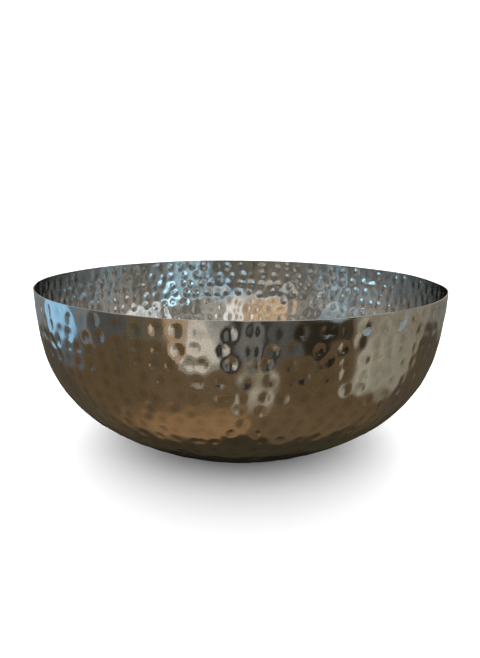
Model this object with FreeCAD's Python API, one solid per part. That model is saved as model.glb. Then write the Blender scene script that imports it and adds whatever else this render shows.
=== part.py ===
import FreeCAD
import Part
import math
import os

# Open bowl raised from one sheet of metal: a flat base, one wall of arcs that run
# smoothly into each other, and a plain cut edge at the rim.
# The origin is the centre of the base's underside, +Z is up. Lengths are in
# millimetres and slopes in degrees above the horizontal.

rim_radius = 150.0
bowl_height = 126.0
sheet = 0.8
base_radius = 38.0

# Outside radius of the bend where the base turns up into the wall.
knuckle_radius = 40.0
# Outside radius of the gentle curve just under the rim.
upper_radius = 232.0

# Slope of the wall where one arc ends and the next begins.
knuckle_slope = 14.0
belly_slope = 37.5
shoulder_slope = 80.5
rim_slope = 90.0


def reach(slope_from, slope_to):
    """Outward and upward travel of a unit arc between two slopes."""
    low = math.radians(slope_from)
    high = math.radians(slope_to)
    return math.sin(high) - math.sin(low), math.cos(low) - math.cos(high)


# The belly and side radii are the two that carry the wall from the base edge to the
# rim exactly, once the knuckle and the upper curve have taken their share.
knuckle_out, knuckle_up = reach(0.0, knuckle_slope)
belly_out, belly_up = reach(knuckle_slope, belly_slope)
side_out, side_up = reach(belly_slope, shoulder_slope)
upper_out, upper_up = reach(shoulder_slope, rim_slope)
left_out = rim_radius - base_radius - knuckle_radius * knuckle_out - upper_radius * upper_out
left_up = bowl_height - knuckle_radius * knuckle_up - upper_radius * upper_up
spread = belly_out * side_up - side_out * belly_up
belly_radius = (left_out * side_up - side_out * left_up) / spread
side_radius = (belly_out * left_up - belly_up * left_out) / spread

arcs = [
    (knuckle_radius, 0.0, knuckle_slope),
    (belly_radius, knuckle_slope, belly_slope),
    (side_radius, belly_slope, shoulder_slope),
    (upper_radius, shoulder_slope, rim_slope),
]


def on_arc(centre, radius, slope):
    """Point where an arc about centre has the given slope."""
    angle = math.radians(slope)
    return FreeCAD.Vector(centre.x + radius * math.sin(angle), 0.0, centre.z - radius * math.cos(angle))


# Each arc starts where the last one stopped, with the same slope. The inside wall
# uses the same centres, one sheet thickness closer in.
outer_edges = []
inner_edges = []
start = FreeCAD.Vector(base_radius, 0.0, 0.0)
for radius, slope_from, slope_to in arcs:
    angle = math.radians(slope_from)
    centre = FreeCAD.Vector(start.x - radius * math.sin(angle), 0.0, start.z + radius * math.cos(angle))
    middle = (slope_from + slope_to) / 2.0
    for edges, wall_radius in ((outer_edges, radius), (inner_edges, radius - sheet)):
        first = on_arc(centre, wall_radius, slope_from)
        through = on_arc(centre, wall_radius, middle)
        last = on_arc(centre, wall_radius, slope_to)
        edges.append(Part.Arc(first, through, last).toShape())
    start = on_arc(centre, radius, slope_to)

base_centre = FreeCAD.Vector(0.0, 0.0, 0.0)
base_edge = FreeCAD.Vector(base_radius, 0.0, 0.0)
floor_centre = FreeCAD.Vector(0.0, 0.0, sheet)
floor_edge = FreeCAD.Vector(base_radius, 0.0, sheet)
rim_outer = FreeCAD.Vector(rim_radius, 0.0, bowl_height)
rim_inner = FreeCAD.Vector(rim_radius - sheet, 0.0, bowl_height)

outline = [Part.makeLine(base_centre, base_edge)]
outline += outer_edges
outline.append(Part.makeLine(rim_outer, rim_inner))
outline += inner_edges[::-1]
outline.append(Part.makeLine(floor_edge, floor_centre))
outline.append(Part.makeLine(floor_centre, base_centre))

section = Part.Face(Part.Wire(Part.__sortEdges__(outline)))
axis_up = FreeCAD.Vector(0.0, 0.0, 1.0)
bowl_shell = section.revolve(base_centre, axis_up, 360.0)

os.makedirs("parts", exist_ok=True)
bowl_shell.exportStep("parts/bowl_shell.step")

box = bowl_shell.BoundBox
print("belly radius", round(belly_radius, 2), "side radius", round(side_radius, 2))
print("solids", len(bowl_shell.Solids), "closed", bowl_shell.isClosed(), "valid", bowl_shell.isValid())
print("size", round(box.XLength, 3), round(box.YLength, 3), round(box.ZLength, 3))
print("volume mm3", round(bowl_shell.Volume, 1))
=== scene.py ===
import math

import bpy
import numpy as np
from mathutils import Matrix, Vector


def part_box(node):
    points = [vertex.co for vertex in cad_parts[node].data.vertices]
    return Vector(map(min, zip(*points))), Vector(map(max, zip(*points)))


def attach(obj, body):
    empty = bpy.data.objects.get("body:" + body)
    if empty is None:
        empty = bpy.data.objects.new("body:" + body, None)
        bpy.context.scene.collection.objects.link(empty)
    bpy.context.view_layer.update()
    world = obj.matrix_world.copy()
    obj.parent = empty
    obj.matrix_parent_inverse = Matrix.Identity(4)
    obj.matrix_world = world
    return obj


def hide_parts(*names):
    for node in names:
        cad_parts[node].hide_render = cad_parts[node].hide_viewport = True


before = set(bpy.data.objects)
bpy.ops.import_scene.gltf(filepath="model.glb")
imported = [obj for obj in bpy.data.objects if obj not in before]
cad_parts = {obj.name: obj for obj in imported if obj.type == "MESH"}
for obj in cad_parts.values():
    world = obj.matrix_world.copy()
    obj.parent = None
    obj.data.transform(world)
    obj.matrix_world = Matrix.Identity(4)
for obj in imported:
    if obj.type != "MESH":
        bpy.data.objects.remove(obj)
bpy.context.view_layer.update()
boxLow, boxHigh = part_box("bowl_shell")
rimRadius = (boxHigh.x - boxLow.x) / 2
bowlHeight = boxHigh.z - boxLow.z
print("frame loaded, rim radius", round(rimRadius, 4), "height", round(bowlHeight, 4))


# the bowl's plain shape, in metres and degrees
bowlShape = {
    "sheet": 0.0008,
    "baseRadius": 0.038,       # flat that stands on the table
    "kneeRadius": 0.040,       # bend from the flat into the wall
    "upperRadius": 0.232,      # gentle curve under the rim
    "slopes": (0.0, 14.0, 37.5, 80.5, 90.0),   # wall slope where one arc meets the next
    "edgeRound": 0.00022,      # cut edge, rubbed smooth
}


def arcReach(slopeFrom, slopeTo):
    # outward and upward travel of a unit arc between two slopes
    return math.sin(slopeTo) - math.sin(slopeFrom), math.cos(slopeFrom) - math.cos(slopeTo)


def wallArcs(shape):
    # four arcs that run on into each other from the base's edge to the rim; the belly and side radii
    # solve two linear equations, so that the wall ends exactly at the rim radius and the bowl's height
    slopes = [math.radians(a) for a in shape["slopes"]]
    kneeOut, kneeUp = arcReach(slopes[0], slopes[1])
    bellyOut, bellyUp = arcReach(slopes[1], slopes[2])
    sideOut, sideUp = arcReach(slopes[2], slopes[3])
    upperOut, upperUp = arcReach(slopes[3], slopes[4])
    leftOut = (rimRadius - shape["baseRadius"]
               - shape["kneeRadius"] * kneeOut - shape["upperRadius"] * upperOut)
    leftUp = bowlHeight - shape["kneeRadius"] * kneeUp - shape["upperRadius"] * upperUp
    spread = bellyOut * sideUp - sideOut * bellyUp
    bellyRadius = (leftOut * sideUp - sideOut * leftUp) / spread
    sideRadius = (bellyOut * leftUp - bellyUp * leftOut) / spread
    radii = (shape["kneeRadius"], bellyRadius, sideRadius, shape["upperRadius"])
    arcs = []
    footX, footZ = shape["baseRadius"], 0.0
    for radius, low, high in zip(radii, slopes[:-1], slopes[1:]):
        centreX = footX - radius * math.sin(low)
        centreZ = footZ + radius * math.cos(low)
        arcs.append((radius, low, high, centreX, centreZ))
        footX = centreX + radius * math.sin(high)
        footZ = centreZ - radius * math.cos(high)
    return arcs[::-1]          # rim first


arcs = wallArcs(bowlShape)
wallLength = sum(radius * (high - low) for radius, low, high, x, z in arcs)
sheetReach = wallLength + bowlShape["baseRadius"]      # from the rim to the middle of the base
print("wall length", round(wallLength, 4))


def wallAt(down):
    # radius, height and slope of the outside at a distance down the wall from the rim: on an arc the
    # slope falls by distance over radius, and the point is the arc's centre plus its radius times the
    # sine outward and minus the cosine upward; on the flat the slope and the height are zero
    radiusAt = np.zeros_like(down)
    heightAt = np.zeros_like(down)
    slopeAt = np.zeros_like(down)
    start = 0.0
    for radius, low, high, centreX, centreZ in arcs:
        length = radius * (high - low)
        here = (down >= start) & (down <= start + length)
        slope = high - (down[here] - start) / radius
        slopeAt[here] = slope
        radiusAt[here] = centreX + radius * np.sin(slope)
        heightAt[here] = centreZ - radius * np.cos(slope)
        start += length
    flat = down > start
    radiusAt[flat] = np.maximum(sheetReach - down[flat], 0.0)
    return radiusAt, heightAt, slopeAt


# the hammer marks, in metres
hammering = {
    "seed": 41,
    "firstRing": 0.0068,       # below the rim
    "ringPitch": 0.0089,
    "ringSpread": 0.05,        # of the pitch
    "lastRing": 0.012,         # stop this far above the base's edge
    "fewest": 8,               # marks in a ring
    "markPitch": 0.0115,       # around the bowl
    "markPitchSpread": 0.10,
    "wanderAround": 0.12,      # of the pitch
    "wanderDown": 0.0009,
    "markRadius": 0.0028,
    "tall": 1.22,              # a mark's height over its width
    "markDepth": 0.00036,
    "sizeSpread": 0.12,
    "depthSpread": 0.45,
    "depthAtBase": 0.30,       # of the depth at the rim
    "depthFade": 1.4,          # power of the way down at which the depth falls
    "lip": 1.25,               # 1 is a soft bell, more gives a flatter cup with a clearer lip
    "doubleShare": 0.05,       # struck twice
    "doubleAside": 0.0042,     # the second blow lands this far along
    "doubleWander": 0.0012,
    "doubleSize": 0.8,         # size and depth of the second blow, of the first
    "doubleDepth": 0.7,
    "markReach": 0.012,        # a ring's marks are felt this far up and down
    "drawIn": 0.36,            # how far the mesh is drawn in to each mark
    "drawReach": 1.25,         # in mark radii
    "drawAxis": 0.01,          # least radius that an angle is worked out for
}

# slow unevenness of the sheet between the marks, and of the rim
unevenness = {
    "waves": 14,
    "sheetHeight": 0.00007,
    "sheetLengths": (0.012, 0.05),
    "sheetTurns": (6, 48),
    "sheetAxis": 0.02,         # least radius for a slope around
    "calmRadius": 0.05,        # the waves fade out inside this
    "rimHeight": 0.00030,
    "rimLengths": (0.4, 0.9),
    "rimTurns": (2, 9),        # in and out
    "rimLiftTurns": (2, 12),   # up and down
    "rimLift": 0.6,            # of the height in and out
    "rimSeeds": (77, 78),
    "rimFade": 0.08,           # gone this far down
}


def strikeMarks(h):
    # marks stand evenly around each ring and then wander by a share of the pitch;
    # one array per ring of angle, distance down, radius and depth, sorted by angle
    rng = np.random.default_rng(h["seed"])
    rings = []
    ringDown = h["firstRing"]
    while ringDown < wallLength - h["lastRing"]:
        ringRadius = wallAt(np.array([ringDown]))[0][0]
        pitch = h["markPitch"] * (1 + h["markPitchSpread"] * rng.uniform(-1, 1))
        count = max(h["fewest"], round(2 * math.pi * ringRadius / pitch))
        step = 2 * math.pi / count
        angle = step * (np.arange(count) + rng.uniform(0, 1)
                        + h["wanderAround"] * rng.normal(size=count))
        down = ringDown + h["wanderDown"] * rng.normal(size=count)
        size = h["markRadius"] * (1 + h["sizeSpread"] * rng.uniform(-1, 1, count))
        depth = h["markDepth"] * (1 + h["depthSpread"] * rng.uniform(-1, 1, count))
        depth *= 1 - (1 - h["depthAtBase"]) * (ringDown / wallLength) ** h["depthFade"]
        twice = rng.uniform(size=count) < h["doubleShare"]
        angle = np.concatenate([angle, angle[twice] + h["doubleAside"] / ringRadius])
        down = np.concatenate([down, down[twice] + h["doubleWander"] * rng.normal(size=twice.sum())])
        size = np.concatenate([size, h["doubleSize"] * size[twice]])
        depth = np.concatenate([depth, h["doubleDepth"] * depth[twice]])
        angle = np.mod(angle, 2 * math.pi)
        order = np.argsort(angle)
        rings.append((ringDown, angle[order], down[order], size[order], depth[order]))
        ringDown += h["ringPitch"] * (1 + h["ringSpread"] * rng.normal())
    return rings


markRings = strikeMarks(hammering)
print("hammer marks", sum(len(ring[1]) for ring in markRings), "in", len(markRings), "rings")


def nearMarks(around, down, radius):
    # for every ring, the two marks nearest each point on either side, as offsets in metres
    for ringDown, angle, markDown, size, depth in markRings:
        near = np.abs(down - ringDown) < hammering["markReach"]
        if not near.any():
            continue
        here = np.mod(around[near], 2 * math.pi)
        first = np.searchsorted(angle, here)
        for neighbour in (-2, -1, 0, 1):
            pick = (first + neighbour) % len(angle)
            turn = here - angle[pick]
            turn = np.mod(turn + math.pi, 2 * math.pi) - math.pi
            yield near, turn * radius[near], down[near] - markDown[pick], size[pick], depth[pick]


def drawnIn(around, down, radius):
    # points moved towards the marks: each offset shrinks by drawIn times a bell of its distance
    h = hammering
    moveAround = np.zeros_like(around)
    moveDown = np.zeros_like(down)
    for near, offAround, offDown, size, depth in nearMarks(around, down, radius):
        bell = np.exp(-(offAround ** 2 + offDown ** 2) / (h["drawReach"] * size) ** 2)
        moveAround[near] -= h["drawIn"] * offAround * bell
        moveDown[near] -= h["drawIn"] * offDown * bell
    return around + moveAround / np.maximum(radius, h["drawAxis"]), down + moveDown


def slowWaves(around, down, seed, height, lengths, turns):
    # height times a sum of sines, each with a whole number of waves around and a random length down,
    # over the root of half their number; and the slopes of that sum around and down
    rng = np.random.default_rng(seed)
    total = np.zeros_like(around)
    slopeAround = np.zeros_like(around)
    slopeDown = np.zeros_like(around)
    for i in range(unevenness["waves"]):
        n = int(rng.integers(turns[0], turns[1]))
        k = 2 * math.pi / rng.uniform(lengths[0], lengths[1]) * rng.choice((-1, 1))
        phase = rng.uniform(0, 2 * math.pi)
        wave = n * around + k * down + phase
        total += np.sin(wave)
        slopeAround += n * np.cos(wave)
        slopeDown += k * np.cos(wave)
    scale = height / math.sqrt(unevenness["waves"] / 2)
    return total * scale, slopeAround * scale, slopeDown * scale


def hammeredSurface(around, down, radius):
    # height of the sheet out from its plain shape: minus, summed over the marks, the depth times
    # e to minus (distance over radius, squared) to the lip power; plus the slow waves
    h, u = hammering, unevenness
    height = np.zeros_like(around)
    slopeAround = np.zeros_like(around)
    slopeDown = np.zeros_like(around)
    cup = np.zeros_like(around)
    for near, offAround, offDown, size, depth in nearMarks(around, down, radius):
        ratio = (offAround ** 2 + (offDown / h["tall"]) ** 2) / size ** 2
        shape = np.exp(-ratio ** h["lip"])
        height[near] -= depth * shape
        cup[near] = np.maximum(cup[near], shape)
        pull = 2 * depth * h["lip"] * ratio ** (h["lip"] - 1) * shape / size ** 2
        slopeAround[near] += pull * offAround
        slopeDown[near] += pull * offDown / h["tall"] ** 2
    waves, waveAround, waveDown = slowWaves(around, down, h["seed"] + 1, u["sheetHeight"],
                                            u["sheetLengths"], u["sheetTurns"])
    calm = np.clip(radius / u["calmRadius"], 0, 1)
    height += waves * calm
    slopeAround += waveAround * calm / np.maximum(radius, u["sheetAxis"])
    slopeDown += waveDown * calm
    return height, slopeAround, slopeDown, cup


# the sheet as one closed surface
meshing = {
    "columns": 520,
    "rowStep": 0.0015,         # down the upper wall
    "lowerRowStep": 0.0019,
    "halveAt": 0.100,          # below this the columns are halved
    "flatRows": 5,
    "edgeRows": 4,
    "rimMargin": 0.0012,       # points are not drawn in above this
    "rimFade": 0.002,          # and fully drawn in this much further down
    "baseMargin": 0.004,       # no marks this near the base's edge, where drawing in fades too
    "baseFade": 0.010,         # the marks come in over this
}


def sheetRows():
    # every row from the middle of the underside, up the outside, over the edge and down the inside:
    # distance down, depth into the sheet, how much the surface faces out or up, and its columns
    m = meshing
    t, e = bowlShape["sheet"], bowlShape["edgeRound"]
    upper = np.arange(e, m["halveAt"], m["rowStep"])
    lower = np.linspace(m["halveAt"], wallLength, round((wallLength - m["halveAt"]) / m["lowerRowStep"]))
    flat = np.linspace(wallLength, sheetReach, m["flatRows"] + 2)[1:-1]
    down = np.concatenate([upper, lower, flat])
    columns = np.where(down < m["halveAt"], m["columns"], m["columns"] // 2)
    columns[down > wallLength] = m["columns"] // 4
    # the cut edge: two quarter rounds that meet the skins
    turn = np.linspace(0, math.pi / 2, m["edgeRows"] + 1)[1:]
    lip = e * (1 - np.sin(turn))
    sink = e * (1 - np.cos(turn))
    edgeColumns = np.full(len(turn), m["columns"])
    level = np.zeros_like(down)
    full = np.ones_like(down)
    rows = [
        (down[::-1], level, full, level, columns[::-1]),
        (lip, sink, np.cos(turn), np.sin(turn), edgeColumns),
        (lip[::-1], t - sink[::-1], -np.cos(turn[::-1]), np.sin(turn[::-1]), edgeColumns),
        (down, np.full_like(down, t), -full, level, columns),
    ]
    return [np.concatenate(parts) for parts in zip(*rows)]


def stitchRows(firstA, countA, firstB, countB):
    # triangles between two rings: two per step, or three per wide step where one ring has twice
    # the columns of the other
    if countA == countB:
        a = np.arange(countA)
        b = (a + 1) % countA
        return np.concatenate([
            np.stack([firstA + a, firstA + b, firstB + b], 1),
            np.stack([firstA + a, firstB + b, firstB + a], 1)])
    flip = countA < countB
    fineFirst, fineCount, wideFirst, wideCount = (
        (firstB, countB, firstA, countA) if flip else (firstA, countA, firstB, countB))
    k = np.arange(wideCount)
    nextWide = wideFirst + (k + 1) % wideCount
    fine = fineFirst + 2 * k
    middle = fine + 1
    nextFine = fineFirst + (2 * k + 2) % fineCount
    tris = np.concatenate([
        np.stack([fine, middle, wideFirst + k], 1),
        np.stack([middle, nextWide, wideFirst + k], 1),
        np.stack([middle, nextFine, nextWide], 1)])
    return tris[:, ::-1] if flip else tris


def buildShell():
    # a point is its wall point plus, along the outward normal, the height of the hammered surface
    # minus the depth into the sheet; its own normal leans back by the surface's slopes
    m, u = meshing, unevenness
    down, depth, faceOut, faceUp, columns = sheetRows()
    row = np.repeat(np.arange(len(down)), columns)
    first = np.concatenate([[0], np.cumsum(columns)])
    around = 2 * math.pi * (np.arange(first[-1]) - first[row]) / columns[row]
    down, depth, faceOut, faceUp = down[row], depth[row], faceOut[row], faceUp[row]
    radius = wallAt(down)[0]
    onWall = (np.clip((down - m["rimMargin"]) / m["rimFade"], 0, 1)
              * np.clip((wallLength - down) / m["baseMargin"], 0, 1))
    pulledAround, pulledDown = drawnIn(around, down, radius)
    around = around + (pulledAround - around) * onWall
    down = down + (pulledDown - down) * onWall
    radius, height, slope = wallAt(down)
    rise, riseAround, riseDown, cup = hammeredSurface(around, down, radius)
    offBase = np.clip((wallLength - m["baseMargin"] - down) / m["baseFade"], 0, 1)
    rise, riseAround, riseDown = rise * offBase, riseAround * offBase, riseDown * offBase
    wander = slowWaves(around, down, u["rimSeeds"][0], u["rimHeight"], u["rimLengths"], u["rimTurns"])[0]
    lift = slowWaves(around, down, u["rimSeeds"][1], u["rimLift"] * u["rimHeight"],
                     u["rimLengths"], u["rimLiftTurns"])[0]
    fade = np.clip(1 - down / u["rimFade"], 0, 1) ** 2
    out = rise - depth
    pointRadius = radius + out * np.sin(slope) + wander * fade
    pointHeight = height - out * np.cos(slope) + (lift - u["rimHeight"]) * fade
    cosA, sinA = np.cos(around), np.sin(around)
    points = np.stack([pointRadius * cosA, pointRadius * sinA, pointHeight], 1)
    # the outward direction and the one up along the wall, each as its outward and upward part
    outR, outZ = np.sin(slope), -np.cos(slope)
    upR, upZ = np.cos(slope), np.sin(slope)
    normalR = faceOut * outR + faceUp * upR + faceOut * riseDown * upR
    normalZ = faceOut * outZ + faceUp * upZ + faceOut * riseDown * upZ
    normalT = -faceOut * riseAround
    normals = np.stack([normalR * cosA - normalT * sinA, normalR * sinA + normalT * cosA, normalZ], 1)
    normals /= np.linalg.norm(normals, axis=1, keepdims=True)
    # the two middles, and the rings stitched into one skin
    t = bowlShape["sheet"]
    points = np.concatenate([points, [[0, 0, 0], [0, 0, t]]])
    normals = np.concatenate([normals, [[0, 0, -1], [0, 0, 1]]])
    cup = np.concatenate([cup * offBase, [0, 0]])
    down = np.concatenate([down, [sheetReach, sheetReach]])
    total = int(first[-1])
    tris = [stitchRows(first[i], columns[i], first[i + 1], columns[i + 1])
            for i in range(len(columns) - 1)]
    a = np.arange(columns[0])
    tris.append(np.stack([np.full_like(a, total), (a + 1) % columns[0], a], 1))
    last = first[-2]
    a = np.arange(columns[-1])
    tris.append(np.stack([np.full_like(a, total + 1), last + a, last + (a + 1) % columns[-1]], 1))
    return points, normals, np.concatenate(tris), cup, down


def shellObject():
    points, normals, tris, cup, down = buildShell()
    mesh = bpy.data.meshes.new("hammeredShell")
    mesh.vertices.add(len(points))
    mesh.vertices.foreach_set("co", points.ravel())
    mesh.loops.add(tris.size)
    mesh.loops.foreach_set("vertex_index", tris.ravel().astype(np.int32))
    mesh.polygons.add(len(tris))
    mesh.polygons.foreach_set("loop_start", np.arange(0, tris.size, 3, dtype=np.int32))
    mesh.polygons.foreach_set("use_smooth", np.ones(len(tris), bool))
    mesh.update(calc_edges=True)
    mesh.validate()
    mesh.normals_split_custom_set_from_vertices(normals.tolist())
    for name, values in (("struckDepth", cup), ("belowRim", down)):
        field = mesh.attributes.new(name, "FLOAT", "POINT")
        field.data.foreach_set("value", values.astype(np.float32))
    shell = bpy.data.objects.new("hammeredShell", mesh)
    bpy.context.scene.collection.objects.link(shell)
    print("shell points", len(points), "triangles", len(tris))
    return shell


shell = shellObject()


def addNode(tree, kind, settings=None, **inputs):
    # a node with its inputs set or linked; i0, i1, i2 name them by number, Base_Color by name
    node = tree.nodes.new(kind)
    for name, value in (settings or {}).items():
        setattr(node, name, value)
    for name, value in inputs.items():
        key = int(name[1:]) if name[0] == "i" and name[1:].isdigit() else name.replace("_", " ")
        if isinstance(value, bpy.types.NodeSocket):
            tree.links.new(value, node.inputs[key])
        else:
            node.inputs[key].default_value = value
    return node


def mathNode(tree, operation, a, b=0.0, c=0.0):
    # a, b and c are numbers or sockets; MULTIPLY_ADD is a times b plus c
    return addNode(tree, "ShaderNodeMath", {"operation": operation}, i0=a, i1=b, i2=c).outputs[0]


def noise(tree, place, scale, detail, roughness=0.5):
    # cloudy pattern between 0 and 1
    return addNode(tree, "ShaderNodeTexNoise", Vector=place, Scale=scale, Detail=detail,
                   Roughness=roughness).outputs["Fac"]


def ramp(tree, value, low, high, outLow=0.0, outHigh=1.0):
    # smooth step from one output to the other
    node = addNode(tree, "ShaderNodeMapRange", {"interpolation_type": "SMOOTHSTEP"},
                   Value=value, From_Min=low, From_Max=high, To_Min=outLow, To_Max=outHigh)
    return node.outputs[0]


def mixColour(tree, factor, a, b, blend="MIX"):
    # from colour a to colour b by the factor, or a times b with blend MULTIPLY
    node = tree.nodes.new("ShaderNodeMix")
    node.data_type = "RGBA"
    node.blend_type = blend
    for socket, value in ((node.inputs[0], factor), (node.inputs[6], a), (node.inputs[7], b)):
        if isinstance(value, bpy.types.NodeSocket):
            tree.links.new(value, socket)
        else:
            socket.default_value = value
    return node.outputs[2]


# the polished steel
steelLook = {
    "metal": (0.605, 0.592, 0.575, 1),
    "worn": (0.53, 0.512, 0.49, 1),
    "wornShare": 0.35,         # how far a smudge goes to the worn colour
    "roughness": 0.080,
    "smudge": 0.035,           # added roughness
    "smudgeScale": 22.0,
    "smudgeFrom": (0.42, 0.68),    # of the pattern
    "brushTurns": 3.0,         # the brushing is this coarse around
    "brushLines": 1600.0,      # and this fine down the wall
    "brushRoughness": 0.05,
    "brushDepth": 0.000012,
    "anisotropy": 0.30,
    "struckRoughness": -0.02,  # a struck floor is smoother
    "dullLower": 0.06,         # the lower wall is less polished
    "dullFrom": (0.02, 0.13),  # below the rim
    "grainScale": 1400.0,
    "grainDepth": 0.35,        # of the brushing's
    "speckle": 0.10,
    "speckFrom": (0.3, 0.7),
    "lipShade": 0.07,           # painted shade: how much darker the lip of a mark is
    "lipFrom": (0.02, 0.40),   # of the struck depth
    "floorShade": 0.11,         # and its floor
    "floorFrom": (0.45, 1.0),
}


def steelMaterial(look):
    material = bpy.data.materials.new("polishedSteel")
    material.use_nodes = True
    tree = material.node_tree
    tree.nodes.clear()
    place = addNode(tree, "ShaderNodeTexCoord").outputs["Object"]
    struck = addNode(tree, "ShaderNodeAttribute", {"attribute_name": "struckDepth"}).outputs["Fac"]
    below = addNode(tree, "ShaderNodeAttribute", {"attribute_name": "belowRim"}).outputs["Fac"]
    # the brushing runs around the bowl: noise read at the direction from the middle, times a small
    # number, and at the distance below the rim, times a large one
    split = addNode(tree, "ShaderNodeSeparateXYZ", Vector=place)
    across, along = split.outputs[0], split.outputs[1]
    ring = mathNode(tree, "SQRT", mathNode(tree, "ADD", mathNode(tree, "MULTIPLY", across, across),
                                           mathNode(tree, "MULTIPLY", along, along)))
    safeRing = mathNode(tree, "MAXIMUM", ring, 0.001)      # clear of the middle
    turnX = mathNode(tree, "MULTIPLY", mathNode(tree, "DIVIDE", across, safeRing), look["brushTurns"])
    turnY = mathNode(tree, "MULTIPLY", mathNode(tree, "DIVIDE", along, safeRing), look["brushTurns"])
    downWall = mathNode(tree, "MULTIPLY", below, look["brushLines"])
    lines = addNode(tree, "ShaderNodeCombineXYZ", X=turnX, Y=turnY, Z=downWall).outputs[0]
    brushed = noise(tree, lines, 1.0, 3.0, 0.6)
    grain = noise(tree, place, look["grainScale"], 2.0)
    smudge = ramp(tree, noise(tree, place, look["smudgeScale"], 4.0, 0.6), *look["smudgeFrom"])
    # roughness is the plain one plus shares of the smudges, the brushing, the marks and the lower wall
    rough = mathNode(tree, "MULTIPLY_ADD", smudge, look["smudge"], look["roughness"])
    rough = mathNode(tree, "MULTIPLY_ADD", mathNode(tree, "SUBTRACT", brushed, 0.5), look["brushRoughness"],
                     rough)
    rough = mathNode(tree, "MULTIPLY_ADD", struck, look["struckRoughness"], rough)
    rough = mathNode(tree, "ADD", rough, ramp(tree, below, *look["dullFrom"], 0.0, look["dullLower"]))
    # colour goes from metal to worn in the smudges, times the grain's specks
    wear = mathNode(tree, "MULTIPLY", smudge, look["wornShare"])
    colour = mixColour(tree, wear, look["metal"], look["worn"])
    speck = ramp(tree, grain, *look["speckFrom"], 1 - look["speckle"], 1 + look["speckle"])
    colour = mixColour(tree, 1.0, colour, speck, "MULTIPLY")
    # painted shade in the marks: a little darker, one minus a step at the lip and a step at the floor
    atLip = ramp(tree, struck, *look["lipFrom"])
    atFloor = ramp(tree, struck, *look["floorFrom"])
    markShade = mathNode(tree, "MULTIPLY_ADD", atLip, -look["lipShade"], 1.0)
    markShade = mathNode(tree, "MULTIPLY_ADD", atFloor, -look["floorShade"], markShade)
    colour = mixColour(tree, 1.0, colour, markShade, "MULTIPLY")
    relief = mathNode(tree, "ADD", brushed, mathNode(tree, "MULTIPLY", grain, look["grainDepth"]))
    bump = addNode(tree, "ShaderNodeBump", Strength=1.0, Distance=look["brushDepth"], Height=relief)
    steel = addNode(tree, "ShaderNodeBsdfPrincipled", Base_Color=colour, Metallic=1.0, Roughness=rough,
                    Normal=bump.outputs[0], Anisotropic=look["anisotropy"])
    addNode(tree, "ShaderNodeOutputMaterial", Surface=steel.outputs[0])
    return material


shell.data.materials.append(steelMaterial(steelLook))
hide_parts("bowl_shell")
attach(shell, "root")
print("steel done")


# the pale floor
floorLook = {
    "size": 60.0,
    "drop": 0.0002,            # below the base, so that the two never share a plane
    "colour": (0.90, 0.90, 0.90, 1),
    "roughness": 0.9,
}


def floorPlane(look):
    # a flat square
    mesh = bpy.data.meshes.new("studioFloor")
    h = look["size"] / 2
    mesh.from_pydata([(-h, -h, 0), (h, -h, 0), (h, h, 0), (-h, h, 0)], [], [(0, 1, 2, 3)])
    floor = bpy.data.objects.new("studioFloor", mesh)
    floor.location.z = -look["drop"]
    material = bpy.data.materials.new("paleFloor")
    material.use_nodes = True
    shader = material.node_tree.nodes["Principled BSDF"]
    shader.inputs["Base Color"].default_value = look["colour"]
    shader.inputs["Roughness"].default_value = look["roughness"]
    shader.inputs["Specular IOR Level"].default_value = 0.0
    mesh.materials.append(material)
    bpy.context.scene.collection.objects.link(floor)
    floor.visible_glossy = False      # the metal mirrors the room's table instead
    return floor


floorPlane(floorLook)
print("floor done")


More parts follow.
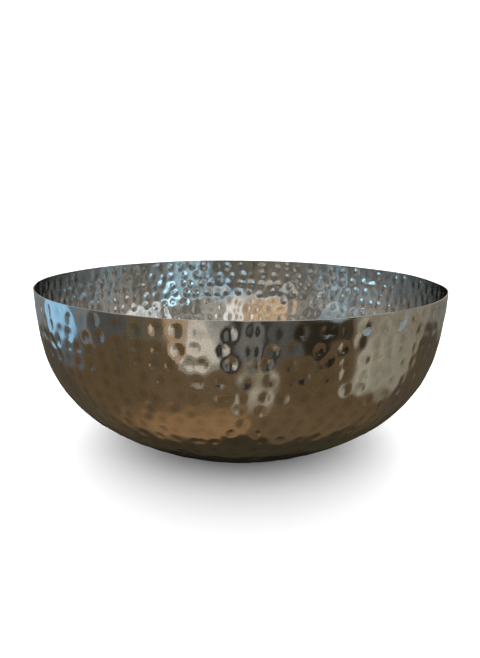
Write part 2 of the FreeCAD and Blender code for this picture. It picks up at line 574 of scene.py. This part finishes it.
# the room that the metal mirrors, as soft panels a long way off, later ones painted over earlier ones;
# each is turn and half width in degrees from straight behind the bowl, right positive, low and high
# in degrees above the horizon, softness in degrees, and light
roomWall = (0.15, 0.125, 0.09)
roomPanels = {
    "table": (0, 200, -95, -15, 3, (0.143, 0.097, 0.051)),
    "tableWarm": (-155, 28, -58, -28, 12, (0.176, 0.120, 0.064)),
    "tableBehind": (0, 64, -42, -12, 6, (0.095, 0.077, 0.052)),
    "tableNearer": (0, 200, -95, -50, 10, (0.171, 0.114, 0.059)),
    "tableInLamplight": (-125, 62, -95, -57, 9, (0.342, 0.203, 0.093)),
    "shadeWide": (3, 55, -95, -46, 8, (0.057, 0.046, 0.027)),
    "shadeMiddle": (2, 34, -60, -22, 6, (0.051, 0.041, 0.025)),
    "shadeDeep": (0, 16, -50, -20, 5, (0.011, 0.009, 0.006)),
    # painted shadow: the table darkened right under the bowl's foot
    "shadowUnderFoot": (0, 200, -98, -84, 2, (0.051, 0.041, 0.027)),
    "glowOnTable": (169, 7, -54, -32, 8, (0.524, 0.467, 0.353)),
    "skyOnTable": (-73, 12, -24, -15, 3, (0.142, 0.160, 0.165)),
    "wallOnTable": (91, 20, -38, -13, 6, (0.355, 0.325, 0.245)),
    "wallOnTableNear": (108, 6, -37, -15, 4, (0.470, 0.430, 0.330)),
    "door": (-162.5, 11.5, -27, 4, 1, (0.718, 0.638, 0.547)),
    "doorLower": (-160, 8, -27, -18, 2, (0.866, 0.787, 0.673)),
    "doorSide": (-170, 4.5, -22, 4, 1, (0.502, 0.490, 0.439)),
    "skirting": (-162, 13, -32, -26.5, 1, (0.353, 0.319, 0.239)),
    "tanStrip": (-147, 4, -26, 4, 1, (0.570, 0.410, 0.262)),
    "oliveWall": (-131, 11, -21, 4, 2, (0.160, 0.131, 0.085)),
    "slateCurtain": (-108, 12, -18, 4, 2, (0.108, 0.108, 0.103)),
    "curtainFold": (-93, 4, -20, 4, 2, (0.239, 0.251, 0.245)),
    "greyBehind": (-45, 16, -14, 4, 2, (0.239, 0.251, 0.251)),
    "greyBehindRight": (42, 22, -14, 4, 2, (0.217, 0.205, 0.171)),
    "paleWallRight": (90, 27, -14, 4, 2, (0.331, 0.296, 0.228)),
    "darkSeat": (135.5, 15.5, -21, 4, 1, (0.063, 0.049, 0.030)),
    "darkSeatMiddle": (140, 7, -26, 4, 1, (0.034, 0.027, 0.017)),
    "slateSeat": (158, 7, -26, 4, 1, (0.120, 0.120, 0.108)),
    "slabShade": (168, 3.8, -27, 4, 1, (0.048, 0.046, 0.039)),
    "slab": (175, 5, -29, 4, 1, (0.211, 0.205, 0.188)),
    "doorFrame": (-175.5, 4.4, -31, 4, 1, (0.040, 0.040, 0.035)),
    "coolStrip": (118, 30, -11, 4, 1, (0.388, 0.456, 0.479)),
    "upperWalls": (0, 200, 3, 95, 1, (0.311, 0.299, 0.257)),
    "ceiling": (0, 200, 48, 110, 20, (0.969, 0.958, 0.923)),
    "peachWall": (-163, 21, 12, 60, 2, (0.775, 0.570, 0.376)),
    "whiteDoor": (175, 6, 15, 70, 3, (1.140, 1.106, 1.049)),
    "greyDoor": (157, 9, 14, 70, 3, (0.456, 0.433, 0.376)),
    "whiteCurtain": (104, 16, 11, 34, 1, (1.026, 1.060, 1.060)),
    "whiteEdge": (-152, 6, 11, 14, 1, (0.969, 0.969, 0.946)),
    "farWindow": (-108, 10, 3, 34, 2, (0.472, 0.575, 0.626)),
    "brightLedge": (-115, 8, 9, 11, 1, (1.085, 1.073, 1.021)),
    "skyWindowLeft": (-70, 13, -17, 4, 2, (0.422, 0.775, 1.072)),
    "skyWindowSide": (-86, 4, -18, 4, 2, (0.194, 0.262, 0.319)),
    "skyWindowUpper": (-70, 24, 2, 11.5, 1, (1.200, 1.950, 2.400)),
    "windowFar": (-147, 5, 4.5, 8.5, 1, (0.850, 0.900, 0.880)),
    "darkShelf": (-8, 16, 3, 10, 1, (0.319, 0.306, 0.243)),
    "tanShelf": (42, 24, 3, 10, 1, (0.613, 0.523, 0.383)),
    "skyWindowRight": (129, 7, 3, 13, 1, (1.066, 1.756, 2.320)),
    "whiteBehind": (180, 34, 9, 12.8, 1, (0.798, 0.889, 0.935)),
    "skyWindowBehind": (170, 10, 4.5, 8.5, 1, (0.600, 0.980, 1.280)),
}
studio = {
    "domeFront": (5.2, 5.2, 5.2, 1),     # soft light on the floor, from in front and behind
    "domeSide": (1.3, 1.3, 1.3, 1),      # from overhead and the sides
    "sideTo": 0.7,                       # square of a direction's share to the front where side ends
    "low": (0.38, 0.38, 0.38, 1),        # and from near the horizon
    "domeFrom": (5, 40),                 # degrees above the horizon where low becomes dome
    "backdrop": (1.2, 1.2, 1.2, 1),      # past the floor's end
    "gleam": (0.10, 0.105, 0.11, 1),     # what the metal throws on the floor
    "folds": 0.22,                       # light and dark folds in the room's walls
    "foldPitch": 2.6,                    # degrees
    "foldTwist": 0.0006,                 # how little they change with height
    "tableMottle": 0.10,                 # and patches on the table
    "mottleScale": 9.0,
    "contrast": 4.0,                     # of both patterns
    "tableEdge": (-30.0, -18.0),         # degrees over which table becomes wall
    "clutter": 0.32,                     # light and dark things above the table
    "clutterScale": 6.5,
    "clutterSteps": (0.40, 0.60),        # of the pattern, from dark to light
    "clutterBright": 0.7,                # the light ones, of the dark ones
    "clutterFrom": (-2.0, 4.0),          # degrees above the horizon
}
degreesPerRadian = 57.3


def panelGroup():
    # 1 inside the panel's turn and height limits, fading to 0 over its softness
    group = bpy.data.node_groups.new("softPanel", "ShaderNodeTree")
    for name in ("Turn", "Height", "Centre", "Half", "Low", "High", "Soft"):
        group.interface.new_socket(name, in_out="INPUT", socket_type="NodeSocketFloat")
    group.interface.new_socket("Mask", in_out="OUTPUT", socket_type="NodeSocketFloat")
    given = group.nodes.new("NodeGroupInput").outputs
    # the shorter way round from the panel's middle
    off = mathNode(group, "SUBTRACT", given["Turn"], given["Centre"])
    off = mathNode(group, "ABSOLUTE", mathNode(group, "WRAP", off, 180.0, -180.0))

    def faded(value, limit, rising):
        low = mathNode(group, "SUBTRACT", limit, given["Soft"])
        high = mathNode(group, "ADD", limit, given["Soft"])
        return ramp(group, value, low, high, 0.0 if rising else 1.0, 1.0 if rising else 0.0)

    mask = mathNode(group, "MULTIPLY", faded(off, given["Half"], False),
                    faded(given["Height"], given["Low"], True))
    mask = mathNode(group, "MULTIPLY", mask, faded(given["Height"], given["High"], False))
    group.links.new(mask, group.nodes.new("NodeGroupOutput").inputs["Mask"])
    return group


def studioWorld(light):
    # glossy rays see the room, diffuse rays the soft dome and camera rays the plain backdrop
    world = bpy.data.worlds.new("studioRoom")
    bpy.context.scene.world = world
    world.use_nodes = True
    world.cycles.sampling_method = "NONE"
    tree = world.node_tree
    tree.nodes.clear()
    direction = addNode(tree, "ShaderNodeTexCoord").outputs["Generated"]
    split = addNode(tree, "ShaderNodeSeparateXYZ", Vector=direction)
    turn = mathNode(tree, "ARCTAN2", split.outputs[0], split.outputs[1])
    turn = mathNode(tree, "MULTIPLY", turn, 180 / math.pi)
    height = mathNode(tree, "MULTIPLY", mathNode(tree, "ARCSINE", split.outputs[2]), 180 / math.pi)
    group = panelGroup()

    def panelMask(turnAt, half, low, high, soft):
        node = addNode(tree, "ShaderNodeGroup", {"node_tree": group}, Turn=turn, Height=height, Centre=turnAt,
                       Half=half, Low=low, High=high, Soft=soft)
        return node.outputs[0]

    colour = (*roomWall, 1)
    for turnAt, half, low, high, soft, panelLight in roomPanels.values():
        colour = mixColour(tree, panelMask(turnAt, half, low, high, soft), colour, (*panelLight, 1))
    # folds are noise that changes with turn and hardly with height; the table has patches instead
    radians = mathNode(tree, "RADIANS", turn)
    around = addNode(tree, "ShaderNodeCombineXYZ", X=mathNode(tree, "SINE", radians),
                     Y=mathNode(tree, "COSINE", radians),
                     Z=mathNode(tree, "MULTIPLY", height, light["foldTwist"])).outputs[0]
    folds = noise(tree, around, degreesPerRadian / light["foldPitch"], 2.0)
    mottle = noise(tree, direction, light["mottleScale"], 4.0)
    aboveTable = ramp(tree, height, *light["tableEdge"])
    amount = mathNode(tree, "MULTIPLY_ADD", aboveTable, light["folds"] - light["tableMottle"],
                      light["tableMottle"])
    pattern = addNode(tree, "ShaderNodeMix", {"data_type": "FLOAT"},
                      i0=aboveTable, i2=mottle, i3=folds).outputs[0]
    # shade is one plus the amount times the contrast times the pattern less a half
    swing = mathNode(tree, "MULTIPLY_ADD", pattern, light["contrast"], -light["contrast"] / 2)
    shade = mathNode(tree, "MULTIPLY_ADD", swing, amount, 1.0)
    colour = mixColour(tree, 1.0, colour, shade, "MULTIPLY")
    clutter = noise(tree, direction, light["clutterScale"], 3.0, 0.6)
    clutter = ramp(tree, clutter, *light["clutterSteps"],
                   1 - light["clutter"], 1 + light["clutterBright"] * light["clutter"])
    clutter = mathNode(tree, "POWER", clutter, ramp(tree, height, *light["clutterFrom"]))
    colour = mixColour(tree, 1.0, colour, clutter, "MULTIPLY")
    frontness = mathNode(tree, "MULTIPLY", split.outputs[1], split.outputs[1])
    dome = mixColour(tree, ramp(tree, frontness, 0.0, light["sideTo"]), light["domeSide"], light["domeFront"])
    dome = mixColour(tree, ramp(tree, height, *light["domeFrom"]), light["low"], dome)
    path = addNode(tree, "ShaderNodeLightPath").outputs
    seen = mixColour(tree, path["Is Camera Ray"], dome, light["backdrop"])
    # the gleam that the metal throws on the floor stays neutral
    gleam = mixColour(tree, ramp(tree, path["Diffuse Depth"], 0.4, 0.6), colour, light["gleam"])
    seen = mixColour(tree, path["Is Glossy Ray"], seen, gleam)
    back = addNode(tree, "ShaderNodeBackground", Color=seen, Strength=1.0)
    addNode(tree, "ShaderNodeOutputWorld", Surface=back.outputs[0])


studioWorld(studio)
bpy.context.scene.view_settings.view_transform = "Standard"
print("studio done")


# the camera, in rim radii, degrees and millimetres
cameraPlace = {
    "back": 2.70,
    "above": 0.366,            # above the rim
    "pitch": 13.115,
    "roll": 0.594,
    "lens": 28.78,
    "sensor": 36,
}
camera = bpy.data.objects.new("camera", bpy.data.cameras.new("camera"))
camera.data.lens = cameraPlace["lens"]
camera.data.sensor_width = cameraPlace["sensor"]
eye = (0, -cameraPlace["back"] * rimRadius, bowlHeight + cameraPlace["above"] * rimRadius)
camera.matrix_world = (Matrix.Translation(eye)
                       @ Matrix.Rotation(math.radians(90 - cameraPlace["pitch"]), 4, "X")
                       @ Matrix.Rotation(math.radians(cameraPlace["roll"]), 4, "Z"))
bpy.context.scene.collection.objects.link(camera)
bpy.context.scene.camera = camera
print("camera done")
